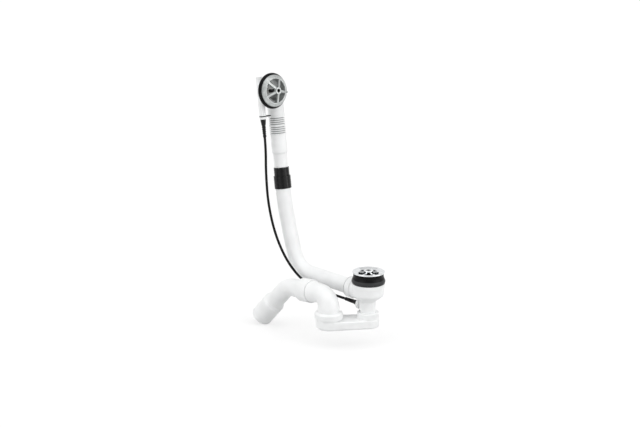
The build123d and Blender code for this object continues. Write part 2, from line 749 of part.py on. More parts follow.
def drive_spindle():
    collar_top = INSERT_HUB_LOW - BEARING_GAP
    shaft = rod(SPINDLE_R, -CRANK_FRONT, SPINDLE_FRONT)
    shaft += rod(SPINDLE_COLLAR_R, collar_top - SPINDLE_COLLAR, collar_top)
    shaft += Pos(0, 0, -CRANK_BACK) * Box(SPINDLE_SQUARE, SPINDLE_SQUARE, CRANK_THICK, align=STAND)
    bottom = SPINDLE_FRONT - SPINDLE_BORE_DEPTH
    shaft -= rod(SPINDLE_BORE_R, bottom, SPINDLE_FRONT)
    key = Rectangle(SPINDLE_BORE_R + SPINDLE_KEY / 2, SPINDLE_KEY, align=(Align.MIN, Align.CENTER))
    shaft -= Pos(0, 0, bottom) * extrude(key, SPINDLE_BORE_DEPTH)
    shaft -= rod(SCREW_R, -CRANK_BACK, SCREW_LENGTH - CRANK_BACK)
    return HEAD * Rot(0, 0, CRANK_HALF_TURN) * shaft


def cable_crank():
    radius = CABLE_SIDE / cos(radians(CRANK_HALF_TURN))
    slot_half = NIPPLE_R + NIPPLE_PLAY
    square = SPINDLE_SQUARE + SLIP_GAP
    arm = SlotOverall(CRANK_ARM_REACH + CRANK_ARM_HALF, 2 * CRANK_ARM_HALF)
    slot = SlotCenterToCenter(radius - CABLE_SIDE + NIPPLE_PLAY, 2 * slot_half)
    outline = Circle(CRANK_HUB_R) + Pos(-(CRANK_ARM_REACH - CRANK_ARM_HALF) / 2, 0) * arm
    outline -= Rectangle(square, square)
    outline -= Pos(-(radius + CABLE_SIDE) / 2, 0) * slot
    plate = Pos(0, 0, -CRANK_BACK) * extrude(outline, CRANK_THICK)
    return HEAD * Rot(0, 0, CRANK_HALF_TURN) * plate


def crank_screw():
    head = rod(SCREW_HEAD_R, -CRANK_BACK - SCREW_HEAD, -CRANK_BACK)
    shank = rod(SCREW_R - SLIP_GAP / 2, -CRANK_BACK, SCREW_LENGTH - CRANK_BACK - SLIP_GAP)
    return HEAD * (head + shank)


def wire_upper():
    low = WIRE_STROKE / 2
    nipple = Pos(-CABLE_SIDE, -low, 0) * rod(NIPPLE_R, -NIPPLE_BACK, -NIPPLE_FRONT)
    wire = rod(WIRE_R, low, UPPER_PORT + SHEATH_START - WIRE_END_GAP)
    return HEAD * nipple + CABLE * wire


def cable_clip():
    length = CLIP_LEFT + CLIP_RIGHT
    outline = Pos((CLIP_RIGHT - CLIP_LEFT) / 2, 0) * RectangleRounded(length, 2 * CLIP_HALF, CLIP_CORNER)
    outline -= Circle(PORT_BORE)
    return CABLE * Pos(0, 0, CLIP_AT) * extrude(outline, CLIP_THICK)


def cable_collar():
    return CABLE * ring(PORT_BORE, CABLE_TUBE_R, COLLAR_AT, UPPER_PORT)


def ferrule(plug):
    """Cable end on Z, with its shoulder at zero and its plug below."""
    points = [
        (WIRE_BORE_R, -plug),
        (FERRULE_PLUG_R, -plug),
        (FERRULE_PLUG_R, 0),
        (FERRULE_HEAD_R, 0),
        (FERRULE_HEAD_R, FERRULE_HEAD),
        (FERRULE_RIB_R, FERRULE_TAPER),
    ]
    for index in range(FERRULE_RIBS):
        low = FERRULE_TAPER + FERRULE_PITCH * index
        middle = low + FERRULE_PITCH / 2
        rib = FERRULE_RIB_R - FERRULE_NARROWING * index
        core = rib - FERRULE_RIB_DEPTH
        points += [(core, low), (core, middle), (rib, middle), (rib, low + FERRULE_PITCH)]
    points += [
        (rib, FERRULE_LENGTH),
        (SHEATH_R + SLIP_GAP, FERRULE_LENGTH),
        (SHEATH_R + SLIP_GAP, SHEATH_START),
        (WIRE_BORE_R, SHEATH_START),
    ]
    return turned(points)


def cable_ferrule_upper():
    return CABLE * Pos(0, 0, UPPER_PORT) * ferrule(UPPER_PLUG)


def cable_ferrule_lower():
    return PORT * Pos(0, 0, PORT_REACH) * ferrule(LOWER_PLUG)


def bend_radius(before, corner, after):
    """Widest even bend at a corner of the cable."""
    one = Vector(corner) - Vector(before)
    two = Vector(after) - Vector(corner)
    half = radians(one.get_angle(two)) / 2
    return BEND_SHARE * min(one.length, two.length) / tan(half)


def cable_path():
    start = (CABLE * Pos(0, 0, UPPER_PORT + SHEATH_START)).position
    lead = (CABLE * Pos(0, 0, UPPER_PORT + SHEATH_START + CABLE_LEAD)).position
    end = (PORT * Pos(0, 0, PORT_REACH + SHEATH_START)).position
    last = (CABLE_G_X, 0, PORT_Z)
    points = [start, lead, CABLE_B, CABLE_C, CABLE_D, CABLE_E, CABLE_F, last, end]
    radii = [bend_radius(*points[index:index + 3]) for index in range(len(points) - 2)]
    print("cable bend radii", [round(radius) for radius in radii])
    path = FilletPolyline(*points, radius=radii)
    print("cable sheath length", round(path.length))
    return path


def cable_sheath():
    return swept(cable_path(), SHEATH_R)


def tray(shrink, low, high):
    """Pillar round the inlet and the cup, drawn in by a wall."""
    inlet = Circle(INLET_R - shrink)
    cup = Pos(CUP_X, CUP_Y) * Circle(CUP_R - shrink)
    return Pos(0, 0, low) * extrude(make_hull(inlet.edges() + cup.edges()), high - low)


def trap_body():
    outside = tray(0, TRAP_FLOOR_Z, TRAY_TOP_Z)
    outside = fillet(outside.edges().group_by(Axis.Z)[0], TRAP_ROUND)
    outside = fillet(outside.edges().group_by(Axis.Z)[-1], TRAY_TOP_ROUND)
    inlet = rod(INLET_R - INLET_STEP, TRAY_TOP_Z - TRAP_WALL, INLET_TOP_Z)
    outside += fillet(inlet.edges().group_by(Axis.Z)[-1], INLET_TOP_ROUND)
    outside += CUP * rod(CUP_NECK_R, TRAY_TOP_Z - TRAP_WALL, CUP_NECK_TOP_Z)
    inside = tray(TRAP_WALL, TRAP_FLOOR_Z + TRAP_WALL, TRAY_TOP_Z - TRAP_WALL)
    inside += rod(INLET_BORE, TRAY_TOP_Z - TRAP_WALL, INLET_TOP_Z)
    inside += rod(INLET_SEAL_R + SLIP_GAP, INLET_SEAL_TOP_Z - INLET_SEAL_THICK, INLET_SEAL_TOP_Z)
    inside += CUP * rod(RISER_SOCKET, TRAY_TOP_Z - TRAP_WALL, CUP_NECK_TOP_Z)
    inside += CUP * rod(CUP_NECK_BORE, RISER_SEAL_TOP_Z - RISER_SEAL_THICK, CUP_NECK_TOP_Z)
    return outside - inside


def inlet_seal():
    return ring(TAIL_R + SLIP_GAP / 2, INLET_SEAL_R, INLET_SEAL_TOP_Z - INLET_SEAL_THICK, INLET_SEAL_TOP_Z)


def trap_union_nut():
    web = CUP_NECK_TOP_Z + RUN_GAP
    return CUP * turned(
        [
            (CUP_NECK_R + SLIP_GAP, TRAP_NUT_LOW_Z),
            (TRAP_NUT_R, TRAP_NUT_LOW_Z),
            (TRAP_NUT_R, TRAP_NUT_TOP_Z - TRAP_NUT_SLOPE),
            (RISER_SOCKET + TRAP_NUT_LIP, TRAP_NUT_TOP_Z),
            (RISER_SOCKET, TRAP_NUT_TOP_Z),
            (RISER_SOCKET, web),
            (CUP_NECK_R + SLIP_GAP, web),
        ],
        [(1, TRAP_NUT_ROUND), (2, TRAP_NUT_ROUND)],
    )


def riser_seal():
    low = RISER_SEAL_TOP_Z - RISER_SEAL_THICK
    return CUP * ring(RISER_R + BEARING_GAP, RISER_BEAD_R, low, RISER_SEAL_TOP_Z - RUN_GAP)


def at_elbow(reach):
    """Point on the outlet line at a distance from the elbow."""
    return (ELBOW * Pos(0, 0, reach)).position


def narrowing(path, first, last):
    """Round bar along line, bend and line, changing its radius in the bend."""
    rise, bend, run = path.edges()
    one = Plane(origin=bend @ 0, z_dir=bend % 0) * Circle(first)
    two = Plane(origin=bend @ 1, z_dir=bend % 1) * Circle(last)
    middle = sweep([one, two], path=bend, multisection=True)
    return swept(rise, first) + middle + swept(run, last)


def riser_elbow():
    low = Vector(CUP_X, CUP_Y, RISER_LOW_Z)
    path = FilletPolyline(low, ELBOW.position, at_elbow(OUTLET_NUT_FROM), radius=ELBOW_BEND)
    outside = narrowing(path, RISER_R, ELBOW_NECK_R)
    outside += CUP * rod(RISER_BEAD_R, RISER_SEAL_TOP_Z, CUP_NECK_TOP_Z)
    flare = Cone(ELBOW_NECK_R, RISER_R, OUTLET_NUT_FROM - ELBOW_FLARE, align=STAND)
    outside += ELBOW * Pos(0, 0, ELBOW_FLARE) * flare
    outside += ELBOW * rod(RISER_R, OUTLET_NUT_FROM, ELBOW_REACH)
    inside = narrowing(path, RISER_BORE, ELBOW_NECK_BORE)
    inside += ELBOW * rod(RISER_BORE, OUTLET_FROM - RUN_GAP, ELBOW_REACH)
    inside += ELBOW * rod(ELBOW_NECK_BORE, OUTLET_NUT_FROM, OUTLET_FROM)
    return outside - inside


def outlet_union_nut():
    web = OUTLET_NUT_TO - OUTLET_NUT_WEB
    return ELBOW * turned(
        [
            (RISER_R + SLIP_GAP, OUTLET_NUT_FROM),
            (OUTLET_NUT_R, OUTLET_NUT_FROM),
            (OUTLET_NUT_R, OUTLET_NUT_TO),
            (OUTLET_R + RUN_GAP, OUTLET_NUT_TO),
            (OUTLET_R + RUN_GAP, web),
            (RISER_R + SLIP_GAP, web),
        ],
        [(1, OUTLET_NUT_ROUND / 2), (2, OUTLET_NUT_ROUND)],
    )


def outlet_seal():
    web = OUTLET_NUT_TO - OUTLET_NUT_WEB
    return ELBOW * ring(OUTLET_R + BEARING_GAP, RISER_R, ELBOW_REACH + BEARING_GAP, web)


def outlet_bend():
    turn = radians(OUTLET_TURN)
    heading = Vector(-cos(turn), 0, -sin(turn))
    corner = at_elbow(OUTLET_CORNER)
    step = corner + heading * (OUTLET_RUN - SPIGOT_LONG)
    path = FilletPolyline(at_elbow(OUTLET_FROM), corner, step, radius=OUTLET_BEND)
    spigot = Plane(origin=step, x_dir=(0, 1, 0), z_dir=heading).location
    end = turned(
        [
            (OUTLET_BORE, -SPIGOT_STEP),
            (OUTLET_R, -SPIGOT_STEP),
            (SPIGOT_R, 0),
            (SPIGOT_R, SPIGOT_LONG - SPIGOT_CHAMFER),
            (SPIGOT_R - SPIGOT_CHAMFER, SPIGOT_LONG),
            (SPIGOT_BORE, SPIGOT_LONG),
            (SPIGOT_BORE, 0),
            (OUTLET_BORE, 0),
        ],
    )
    bead = ELBOW * ring(OUTLET_BORE, OUTLET_BEAD_R, OUTLET_FROM, OUTLET_FROM + OUTLET_BEAD)
    return swept(path, OUTLET_R) - swept(path, OUTLET_BORE) + spigot * end + bead


PARTS = [
    drain_flange,
    flange_gasket,
    drain_seal,
    drain_body,
    lift_pin,
    lift_slide,
    lift_guide,
    wire_lower,
    overflow_union_nut,
    overflow_joint_seal,
    overflow_pipe_lower,
    pipe_coupling,
    overflow_pipe_upper,
    overflow_housing,
    overflow_gasket,
    overflow_insert,
    drive_spindle,
    cable_crank,
    crank_screw,
    wire_upper,
    cable_clip,
    cable_collar,
    cable_ferrule_upper,
    cable_sheath,
    cable_ferrule_lower,
    trap_body,
    inlet_seal,
    trap_union_nut,
    riser_seal,
    riser_elbow,
    outlet_union_nut,
    outlet_seal,
    outlet_bend,
]

os.makedirs("parts", exist_ok=True)
for make in PARTS:
    export_step(make(), f"parts/{make.__name__}.step")
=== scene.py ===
# Looks of a bath waste and overflow: finishes, cable, floor, light and camera, in metres.
import math
from collections import namedtuple

import bpy
from mathutils import Matrix, Vector


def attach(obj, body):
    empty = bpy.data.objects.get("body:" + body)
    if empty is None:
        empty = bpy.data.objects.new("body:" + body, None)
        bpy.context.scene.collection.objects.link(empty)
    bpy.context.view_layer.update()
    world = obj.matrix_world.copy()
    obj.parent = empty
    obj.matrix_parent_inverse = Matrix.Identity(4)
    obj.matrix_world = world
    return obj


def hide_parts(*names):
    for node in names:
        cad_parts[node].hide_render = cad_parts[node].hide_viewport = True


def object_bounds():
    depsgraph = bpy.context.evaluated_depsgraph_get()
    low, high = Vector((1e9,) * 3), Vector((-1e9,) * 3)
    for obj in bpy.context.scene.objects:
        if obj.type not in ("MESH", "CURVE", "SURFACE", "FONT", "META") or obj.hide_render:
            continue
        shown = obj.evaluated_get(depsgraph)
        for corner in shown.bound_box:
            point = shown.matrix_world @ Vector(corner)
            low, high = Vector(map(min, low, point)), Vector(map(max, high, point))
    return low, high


# What a finish is made of: drifting tones, drifting roughness, a grain, and a painted ring round an axis,
# of painted shade in grooves and seams and of painted light on a lip
Tones = namedtuple("Tones", "first second size detail")
Sheen = namedtuple("Sheen", "low high size detail")
Grain = namedtuple("Grain", "size detail depth")
PaintedRing = namedtuple("PaintedRing", "point way middle half full end tone")

MM = 0.001

# Camera: the photograph's own view of the drain rim
AZIMUTH = math.radians(48.0)
ELEVATION = math.radians(14.5)
IMAGE_WIDTH = 640
IMAGE_HEIGHT = 427
FOCAL_PIXELS = 1250.0
SENSOR_MM = 36.0
RIM_POINT = Vector((0, 0, 9 * MM))
RIM_PIXEL = (368.5, 271.5)
PIXEL_SIZE = 2.15 * MM

# Cable: the route's points in millimetres, from the overflow ferrule to the drain ferrule
SHEATH_RADIUS = 2.9 * MM
CABLE_ROUTE = [
    (-291.76, -45.0, 272.61),
    (-287.58, -45.0, 240.88),
    (-288.5, -45.0, 184.0),
    (-281.0, -45.0, 110.0),
    (-256.0, -43.0, 37.0),
    (-217.0, -36.0, -22.0),
    (-171.0, -24.0, -57.0),
    (-128.0, -4.0, -69.0),
    (-100.0, 0.0, -70.0),
    (-64.5, 0.0, -70.0),
]
CURVE_ORDER = 3
CURVE_STEPS = 24
RING_STEPS = 6

# Sizes of surface detail; real grain and polish are finer, drawn this coarse to show in a close view
CLOUD_SIZE = 30 * MM
FLOW_SIZE = 6 * MM
GRAIN_SIZE = 0.5 * MM
FINE_SIZE = 0.25 * MM
CAST_SIZE = 0.9 * MM
POLISH_SIZE = 0.35 * MM

# A noise keeps mostly between these values
NOISE_LOW = 0.3
NOISE_HIGH = 0.7

# Parting line: half its width, the grain's share of its height, and its planes, the last clear of the part
SEAM_HALF = 0.16 * MM
GRAIN_SHARE = 0.12
PIPE_SEAM = 0.0
TRAP_SEAM = -70 * MM
NO_SEAM = 1.0

# Painted rings, of painted shade in grooves and seams and of painted light on the seal's lip: the axis,
# the span along it, the radii of full paint and of none, the colour
PIPE_TILT = math.radians(7.5)
OUTLET_FALL = math.radians(5.5)
# Greys of the painted shade in grooves and seams, and of the painted light on the black seal's lip
PAINTED_SHADE_GREY = "A2A4A5"
PAINTED_LIGHT_GREY = "38393A"
# Painted shade in the ribbed cuff's grooves, darker than their own shade
CUFF_PAINTED_SHADE = PaintedRing(
    point=Vector((-310.88, 0, 366.51)) * MM,
    way=Vector((math.sin(PIPE_TILT), 0, -math.cos(PIPE_TILT))),
    middle=79.5 * MM,
    half=20.5 * MM,
    full=15.8 * MM,
    end=18.3 * MM,
    tone=PAINTED_SHADE_GREY,
)
# Painted shade in the groove of the overflow union nut
NUT_PAINTED_SHADE = PaintedRing(
    point=Vector((0, 0, -38)) * MM,
    way=Vector((-1, 0, 0)),
    middle=54.6 * MM,
    half=0.7 * MM,
    full=21.9 * MM,
    end=22.9 * MM,
    tone=PAINTED_SHADE_GREY,
)
# Painted shade where the outlet nut meets the riser elbow
ELBOW_PAINTED_SHADE = PaintedRing(
    point=Vector((-50, -70, -40.5)) * MM,
    way=Vector((-math.cos(OUTLET_FALL), 0, -math.sin(OUTLET_FALL))),
    middle=52.7 * MM,
    half=0.3 * MM,
    full=24.2 * MM,
    end=25.0 * MM,
    tone=PAINTED_SHADE_GREY,
)
# Painted light on the seal's lip, setting it off from the shaded waist; it covers the whole lip, so it
# ends outside the seal
SEAL_PAINTED_LIGHT = PaintedRing(
    point=Vector((0, 0, 0)),
    way=Vector((0, 0, -1)),
    middle=12.2 * MM,
    half=5.8 * MM,
    full=40 * MM,
    end=50 * MM,
    tone=PAINTED_LIGHT_GREY,
)

# White polypropylene
WHITE_TONES = Tones(first="F3F4F4", second="EBECEC", size=CLOUD_SIZE, detail=1)
WHITE_SHEEN = Sheen(low=0.30, high=0.40, size=FLOW_SIZE, detail=2)
WHITE_GRAIN = Grain(size=GRAIN_SIZE, detail=3, depth=0.09 * MM)
WHITE_SCATTER = 0.06
WHITE_SCATTER_DEPTH = 2 * MM

# Natural acetal
ACETAL_TONES = Tones(first="C9C9C6", second="BDBDBA", size=FLOW_SIZE, detail=2)
ACETAL_SHEEN = Sheen(low=0.34, high=0.44, size=FLOW_SIZE, detail=2)
ACETAL_GRAIN = Grain(size=GRAIN_SIZE, detail=2, depth=0.015 * MM)
ACETAL_SCATTER = 0.05
ACETAL_SCATTER_DEPTH = 1.5 * MM

# Rubber
RUBBER_TONES = Tones(first="08080A", second="121213", size=FLOW_SIZE, detail=3)
RUBBER_SHEEN = Sheen(low=0.32, high=0.42, size=FLOW_SIZE, detail=2)
RUBBER_GRAIN = Grain(size=FINE_SIZE, detail=2, depth=0.01 * MM)
RUBBER_SPECULAR = 0.12

# Black polypropylene
BLACK_TONES = Tones(first="060607", second="0D0D0E", size=FLOW_SIZE, detail=2)
BLACK_SHEEN = Sheen(low=0.22, high=0.32, size=FLOW_SIZE, detail=4)
BLACK_GRAIN = Grain(size=GRAIN_SIZE, detail=2, depth=0.01 * MM)
BLACK_SPECULAR = 0.24

# PVC of the cable jacket
JACKET_TONES = Tones(first="070708", second="0F0F10", size=FLOW_SIZE, detail=2)
JACKET_SHEEN = Sheen(low=0.36, high=0.48, size=FLOW_SIZE, detail=2)
JACKET_GRAIN = Grain(size=GRAIN_SIZE, detail=2, depth=0.02 * MM)
JACKET_SPECULAR = 0.14

# Dark grey polypropylene of the clip
CLIP_TONES = Tones(first="1E1F20", second="28292A", size=FLOW_SIZE, detail=2)
CLIP_SHEEN = Sheen(low=0.40, high=0.50, size=FLOW_SIZE, detail=2)
CLIP_GRAIN = Grain(size=GRAIN_SIZE, detail=2, depth=0.015 * MM)

# Chrome plate
CHROME_TONES = Tones(first="E9EBEC", second="DCDEE0", size=FLOW_SIZE, detail=2)
CHROME_SHEEN = Sheen(low=0.05, high=0.10, size=FLOW_SIZE, detail=4)
CHROME_GRAIN = Grain(size=POLISH_SIZE, detail=2, depth=0.003 * MM)

# Die-cast zinc
CAST_TONES = Tones(first="C6C9C8", second="A9ACAB", size=FLOW_SIZE, detail=4)
CAST_SHEEN = Sheen(low=0.36, high=0.50, size=FLOW_SIZE, detail=3)
CAST_GRAIN = Grain(size=CAST_SIZE, detail=4, depth=0.05 * MM)
CAST_METALLIC = 0.75

# Drawn steel
STEEL_TONES = Tones(first="A9AAAB", second="8F9091", size=FLOW_SIZE, detail=3)
STEEL_SHEEN = Sheen(low=0.22, high=0.36, size=GRAIN_SIZE, detail=2)
STEEL_GRAIN = Grain(size=FINE_SIZE, detail=2, depth=0.01 * MM)

# Values that several finishes share
BARE_METAL = 1.0
EVEN_SCATTER = (1.0, 1.0, 1.0)

# Light from the four sides, and the unlit room behind the camera
WHITE_LIGHT = "FFFFFF"
TOP_LIGHT = 0.92
RIGHT_LIGHT = 0.16
CAMERA_LIGHT = 2.35
LEFT_LIGHT = 0.64
ROOM_RISE = math.radians(24.0)
ROOM_EDGE = 0.76
ROOM_CORE = 0.93
ROOM_SHADE = 0.12

# Strip light, placed along the camera's right, up and back from the aim point
STRIP_WATTS = 10.0
STRIP_WIDTH = 0.45
STRIP_HEIGHT = 1.8
STRIP_PLACE = (1.95, 0.35, 0.75)
AIM = Vector((-0.12, -0.02, 0.1))

# Paper sweep
PAPER = "FFFFFF"
FLOOR_GLOW = 0.65
FLOOR_SEEN = 0.36
FLOOR_BOUNCE = 0.6
FLOOR_FRONT = 12.0
FLOOR_BACK = 2.2
FLOOR_HALF = 12.0
FLOOR_DROP = 0.5 * MM
COVE_RADIUS = 1.0
COVE_STEPS = 16
COVE_TOP = 3.5
QUARTER_TURN = math.pi / 2

# Sockets of the colour mix node
MIX_FACTOR = 0
MIX_A = 6
MIX_B = 7
MIX_RESULT = 2

# The sRGB curve
SRGB_KNEE = 0.04045
SRGB_SLOPE = 12.92
SRGB_OFFSET = 0.055
SRGB_POWER = 2.4
BYTE = 255


def colour(code):
    """Linear colour of an sRGB hex code."""
    channels = []
    for index in (0, 2, 4):
        value = int(code[index:index + 2], 16) / BYTE
        if value <= SRGB_KNEE:
            channels.append(value / SRGB_SLOPE)
        else:
            channels.append(((value + SRGB_OFFSET) / (1 + SRGB_OFFSET)) ** SRGB_POWER)
    return (*channels, 1.0)


def add(tree, kind, sockets, **settings):
    """New node with its settings, and each socket linked or set to a value."""
    node = tree.nodes.new(kind)
    for name, value in settings.items():
        setattr(node, name, value)
    for name, value in sockets.items():
        if isinstance(value, bpy.types.NodeSocket):
            tree.links.new(value, node.inputs[name])
        else:
            node.inputs[name].default_value = value
    return node


def drift(tree, place, pattern, low, high):
    """Value that drifts between two limits, in patches of the pattern's size."""
    sockets = {"Vector": place, "Scale": 1 / pattern.size, "Detail": pattern.detail}
    patches = add(tree, "ShaderNodeTexNoise", sockets).outputs["Fac"]
    limits = {"From Min": NOISE_LOW, "From Max": NOISE_HIGH, "To Min": low, "To Max": high}
    return add(tree, "ShaderNodeMapRange", {"Value": patches, **limits}).outputs["Result"]


def with_painted_ring(tree, place, base, painted_ring):
    """Colour with a ring of another colour round an axis: painted shade in a groove or seam, painted light
    on a lip.
    """
    kind = "ShaderNodeVectorMath"
    offset = add(tree, kind, {0: place, 1: painted_ring.point}, operation="SUBTRACT").outputs["Vector"]
    along = add(tree, kind, {0: offset, 1: painted_ring.way}, operation="DOT_PRODUCT").outputs["Value"]
    outward = add(tree, kind, {0: offset, 1: painted_ring.way}, operation="CROSS_PRODUCT").outputs["Vector"]
    radius = add(tree, kind, {0: outward}, operation="LENGTH").outputs["Value"]
    span = {0: along, 1: painted_ring.middle, 2: painted_ring.half}
    inside = add(tree, "ShaderNodeMath", span, operation="COMPARE").outputs["Value"]
    fade = {"From Min": painted_ring.full, "From Max": painted_ring.end, "To Min": inside, "To Max": 0.0}
    share = add(tree, "ShaderNodeMapRange", {"Value": radius, **fade}).outputs["Result"]
    mix = {MIX_FACTOR: share, MIX_A: base, MIX_B: colour(painted_ring.tone)}
    return add(tree, "ShaderNodeMix", mix, data_type="RGBA").outputs[MIX_RESULT]


def seamed(tree, place, grain, seam):
    """Height of a parting line in a plane across Y, with the grain as a small share of it."""
    across = add(tree, "ShaderNodeSeparateXYZ", {"Vector": place}).outputs["Y"]
    offset = add(tree, "ShaderNodeMath", {0: across, 1: seam}, operation="SUBTRACT").outputs["Value"]
    distance = add(tree, "ShaderNodeMath", {0: offset}, operation="ABSOLUTE").outputs["Value"]
    fall = {"From Min": 0.0, "From Max": SEAM_HALF, "To Min": 1.0, "To Max": 0.0}
    line = add(tree, "ShaderNodeMapRange", {"Value": distance, **fall}).outputs["Result"]
    sockets = {0: grain, 1: GRAIN_SHARE, 2: line}
    return add(tree, "ShaderNodeMath", sockets, operation="MULTIPLY_ADD").outputs["Value"]


def finish(name, tones, sheen, grain, constants, painted_ring=None, seam=None):
    """Material of drifting tones and sheen with a grain, and a ring of painted shade or light and a
    parting line where given.
    """
    material = bpy.data.materials.new(name)
    material.use_nodes = True
    tree = material.node_tree
    tree.nodes.clear()
    place = add(tree, "ShaderNodeTexCoord", {}).outputs["Object"]
    factor = drift(tree, place, tones, 0.0, 1.0)
    mix = {MIX_FACTOR: factor, MIX_A: colour(tones.first), MIX_B: colour(tones.second)}
    base = add(tree, "ShaderNodeMix", mix, data_type="RGBA").outputs[MIX_RESULT]
    if painted_ring is not None:
        base = with_painted_ring(tree, place, base, painted_ring)
    lumps = {"Vector": place, "Scale": 1 / grain.size, "Detail": grain.detail}
    height = add(tree, "ShaderNodeTexNoise", lumps).outputs["Fac"]
    if seam is not None:
        height = seamed(tree, place, height, seam)
    relief = {"Height": height, "Distance": grain.depth}
    shader = add(tree, "ShaderNodeBsdfPrincipled", {
        "Base Color": base,
        "Roughness": drift(tree, place, sheen, sheen.low, sheen.high),
        "Normal": add(tree, "ShaderNodeBump", relief).outputs["Normal"],
        **constants,
    })
    add(tree, "ShaderNodeOutputMaterial", {"Surface": shader.outputs["BSDF"]})
    return material


def white_polypropylene(name, seam, painted_ring=None):
    # Injection moulding leaves satin white, slow clouds of flow and one fine raised parting line; where a
    # ring is given, painted shade darkens a groove or seam.
    constants = {
        "Subsurface Weight": WHITE_SCATTER,
        "Subsurface Radius": EVEN_SCATTER,
        "Subsurface Scale": WHITE_SCATTER_DEPTH,
    }
    return finish(name, WHITE_TONES, WHITE_SHEEN, WHITE_GRAIN, constants, painted_ring, seam)


def natural_acetal():
    # Natural acetal is a slightly grey white with a waxy sheen.
    constants = {
        "Subsurface Weight": ACETAL_SCATTER,
        "Subsurface Radius": EVEN_SCATTER,
        "Subsurface Scale": ACETAL_SCATTER_DEPTH,
    }
    return finish("moulded_natural_acetal", ACETAL_TONES, ACETAL_SHEEN, ACETAL_GRAIN, constants)


def black_rubber(name, painted_ring=None):
    # Moulded rubber is near black and dull with a fine grain; where a ring is given it is painted grey, a
    # painted light that sets the seal's lip off from its shaded waist.
    constants = {"Specular IOR Level": RUBBER_SPECULAR}
    return finish(name, RUBBER_TONES, RUBBER_SHEEN, RUBBER_GRAIN, constants, painted_ring)


def black_polypropylene():
    # Moulded black polypropylene is shinier than the rubber, with light scuffs in its sheen.
    constants = {"Specular IOR Level": BLACK_SPECULAR}
    return finish("moulded_black_polypropylene", BLACK_TONES, BLACK_SHEEN, BLACK_GRAIN, constants)


def pvc_jacket():
    # Extruded PVC is soft black, with slow changes in its sheen.
    constants = {"Specular IOR Level": JACKET_SPECULAR}
    return finish("extruded_pvc_jacket", JACKET_TONES, JACKET_SHEEN, JACKET_GRAIN, constants)


def dark_polypropylene():
    # Moulded dark grey polypropylene has an even satin.
    return finish("moulded_dark_grey_polypropylene", CLIP_TONES, CLIP_SHEEN, CLIP_GRAIN, {})


def chrome_plate():
    # Polished chrome plate mirrors the room, with faint polishing marks in the brightness.
    constants = {"Metallic": BARE_METAL}
    return finish("polished_chrome_plate", CHROME_TONES, CHROME_SHEEN, CHROME_GRAIN, constants)


def cast_zinc():
    # Die-cast zinc is a soft satin grey, grainy and darker in patches.
    constants = {"Metallic": CAST_METALLIC}
    return finish("die_cast_satin_zinc", CAST_TONES, CAST_SHEEN, CAST_GRAIN, constants)


def drawn_steel():
    # Drawn steel is bright with a slight blur.
    constants = {"Metallic": BARE_METAL}
    return finish("drawn_steel", STEEL_TONES, STEEL_SHEEN, STEEL_GRAIN, constants)


def dress(nodes):
    """One finish for each CAD node."""
    pipe = white_polypropylene("moulded_white_polypropylene_pipe", PIPE_SEAM)
    trap = white_polypropylene("moulded_white_polypropylene_trap", TRAP_SEAM)
    nut = white_polypropylene("moulded_white_polypropylene_nut", NO_SEAM)
    # Painted shade in the cuff's grooves, the union nut's groove and where the outlet nut meets the elbow
    cuff = white_polypropylene("moulded_white_polypropylene_cuff", PIPE_SEAM, CUFF_PAINTED_SHADE)
    union = white_polypropylene("moulded_white_polypropylene_union", NO_SEAM, NUT_PAINTED_SHADE)
    elbow = white_polypropylene("moulded_white_polypropylene_elbow", TRAP_SEAM, ELBOW_PAINTED_SHADE)
    # Painted light on the seal's lip
    seal = black_rubber("moulded_rubber_seal", SEAL_PAINTED_LIGHT)
    rubber = black_rubber("moulded_rubber")
    black = black_polypropylene()
    finishes = [
        (chrome_plate(), ["drain_flange"]),
        (cast_zinc(), ["overflow_insert"]),
        (pipe, ["drain_body", "overflow_pipe_lower", "overflow_housing"]),
        (cuff, ["overflow_pipe_upper"]),
        (trap, ["trap_body", "outlet_bend"]),
        (elbow, ["riser_elbow"]),
        (union, ["overflow_union_nut"]),
        (nut, ["trap_union_nut", "outlet_union_nut", "cable_collar"]),
        (natural_acetal(), ["lift_slide", "lift_guide", "cable_crank"]),
        (seal, ["drain_seal"]),
        (rubber, ["flange_gasket", "overflow_joint_seal", "overflow_gasket"]),
        (rubber, ["inlet_seal", "riser_seal", "outlet_seal"]),
        (black, ["lift_pin", "drive_spindle", "pipe_coupling"]),
        (black, ["cable_ferrule_upper", "cable_ferrule_lower"]),
        (dark_polypropylene(), ["cable_clip"]),
        (drawn_steel(), ["wire_upper", "wire_lower", "crank_screw"]),
        (pvc_jacket(), ["cable_sheath"]),
    ]
    for material, names in finishes:
        for name in names:
            nodes[name].data.materials.clear()
            nodes[name].data.materials.append(material)


def cable(nodes):
    """Smooth cable on the route, in place of the plain tube."""
    points = [Vector(point) * MM for point in CABLE_ROUTE]
    data = bpy.data.curves.new("control_cable", "CURVE")
    data.dimensions = "3D"
    data.bevel_depth = SHEATH_RADIUS
    data.bevel_resolution = RING_STEPS
    data.resolution_u = CURVE_STEPS
    data.use_fill_caps = True
    spline = data.splines.new("NURBS")
    spline.points.add(len(points) - 1)
    for knot, point in zip(spline.points, points):
        knot.co = (*point, 1.0)
    spline.order_u = CURVE_ORDER
    spline.use_endpoint_u = True
    piece = bpy.data.objects.new("control_cable", data)
    bpy.context.scene.collection.objects.link(piece)
    data.materials.append(nodes["cable_sheath"].data.materials[0])
    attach(piece, "fixed")
    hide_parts("cable_sheath")


def view_axes():
    """Right, up and back of the camera."""
    level = math.cos(ELEVATION)
    back = Vector((math.sin(AZIMUTH) * level, -math.cos(AZIMUTH) * level, math.sin(ELEVATION)))
    right = Vector((math.cos(AZIMUTH), math.sin(AZIMUTH), 0))
    return right, back.cross(right), back


